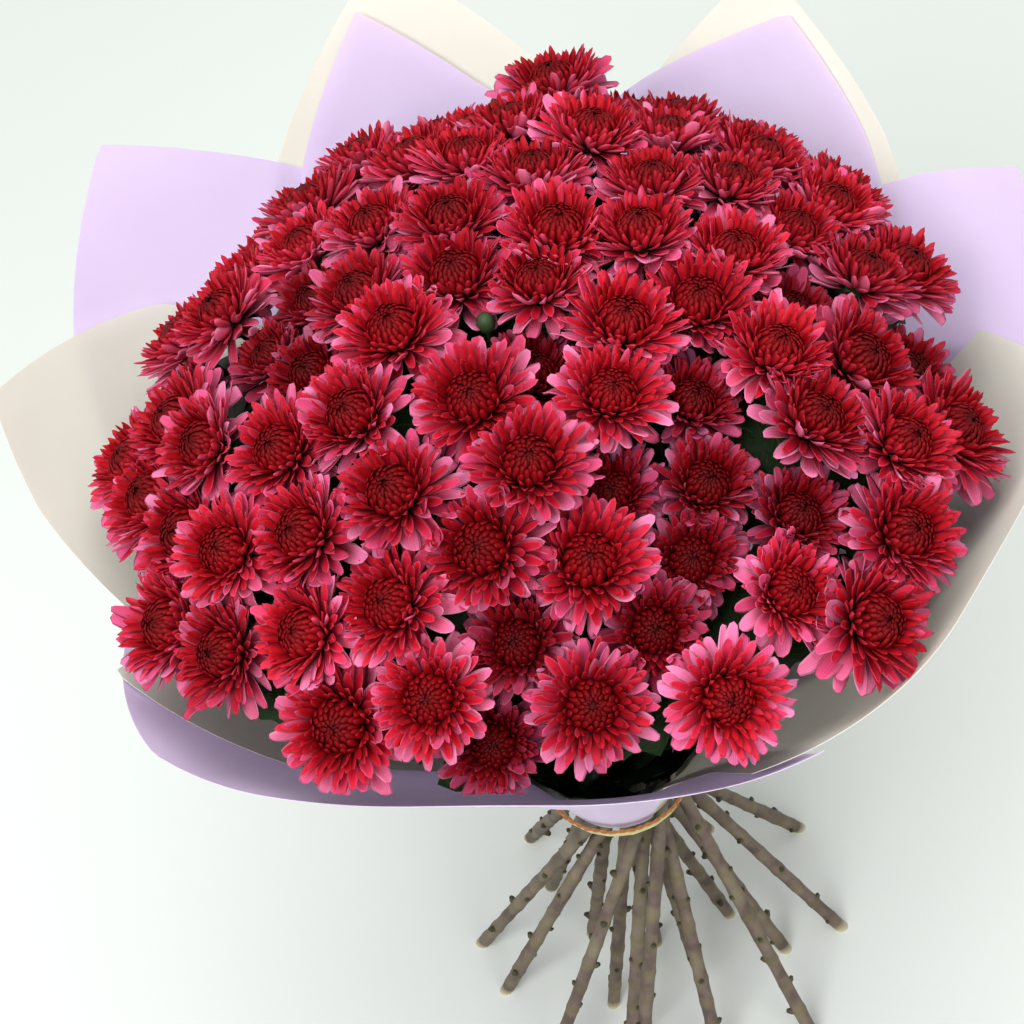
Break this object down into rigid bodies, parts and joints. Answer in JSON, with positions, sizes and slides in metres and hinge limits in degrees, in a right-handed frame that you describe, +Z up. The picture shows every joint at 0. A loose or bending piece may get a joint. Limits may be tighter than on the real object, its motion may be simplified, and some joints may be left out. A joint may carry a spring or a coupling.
{
  "type": "wrapped chrysanthemum bouquet",
  "caption": "Dome of crimson and pink spray chrysanthemums wrapped in lilac and cream film, tied with raffia above bare splayed stems.",
  "frame": {"origin": "centre of the bounding box's footprint, on the plane the cut stem ends stand on", "axes": "+Z up along the bundle of stems, -Y towards the lowest edge of the wrap, where most of the dome shows, +X to the right seen from there"},
  "size_m": [0.5218, 0.5216, 0.6032],
  "materials": {
    "petals": "matte fresh petals: stands in for living petals, crimson with hot pink tips",
    "greenery": "matte living plant: grey-brown stems below, green stalks, cups and leaves above",
    "film_lilac": "matte translucent florist film",
    "film_cream": "matte translucent florist film",
    "raffia": "dry matte raffia",
    "cord": "twisted matte twine"
  },
  "bodies": {
    "root": {"spray_01_stem": "greenery", "spray_01_heads": "petals", "spray_02_stem": "greenery", "spray_02_heads": "petals", "spray_03_stem": "greenery", "spray_03_heads": "petals", "spray_04_stem": "greenery", "spray_04_heads": "petals", "spray_05_stem": "greenery", "spray_05_heads": "petals", "spray_06_stem": "greenery", "spray_06_heads": "petals", "spray_07_stem": "greenery", "spray_07_heads": "petals", "spray_08_stem": "greenery", "spray_08_heads": "petals", "spray_09_stem": "greenery", "spray_09_heads": "petals", "spray_10_stem": "greenery", "spray_10_heads": "petals", "spray_11_stem": "greenery", "spray_11_heads": "petals", "spray_12_stem": "greenery", "spray_12_heads": "petals", "spray_13_stem": "greenery", "spray_13_heads": "petals", "spray_14_stem": "greenery", "spray_14_heads": "petals", "spray_15_stem": "greenery", "spray_15_heads": "petals", "spray_16_stem": "greenery", "spray_16_heads": "petals", "spray_17_stem": "greenery", "spray_17_heads": "petals", "spray_18_stem": "greenery", "spray_18_heads": "petals", "spray_19_stem": "greenery", "spray_19_heads": "petals", "spray_20_stem": "greenery", "spray_20_heads": "petals", "spray_21_stem": "greenery", "spray_21_heads": "petals", "film_cream_left": "film_cream", "film_cream_flap": "film_cream", "film_cream_front": "film_cream", "film_cream_back_left": "film_cream", "film_cream_back_right": "film_cream", "film_lilac_back_left": "film_lilac", "film_lilac_right": "film_lilac", "film_lilac_front": "film_lilac", "film_lilac_left": "film_lilac", "film_lilac_back_right": "film_lilac", "film_lilac_low_right": "film_lilac", "tie_raffia": "raffia", "tie_cord": "cord"}
  },
  "joints": []
}
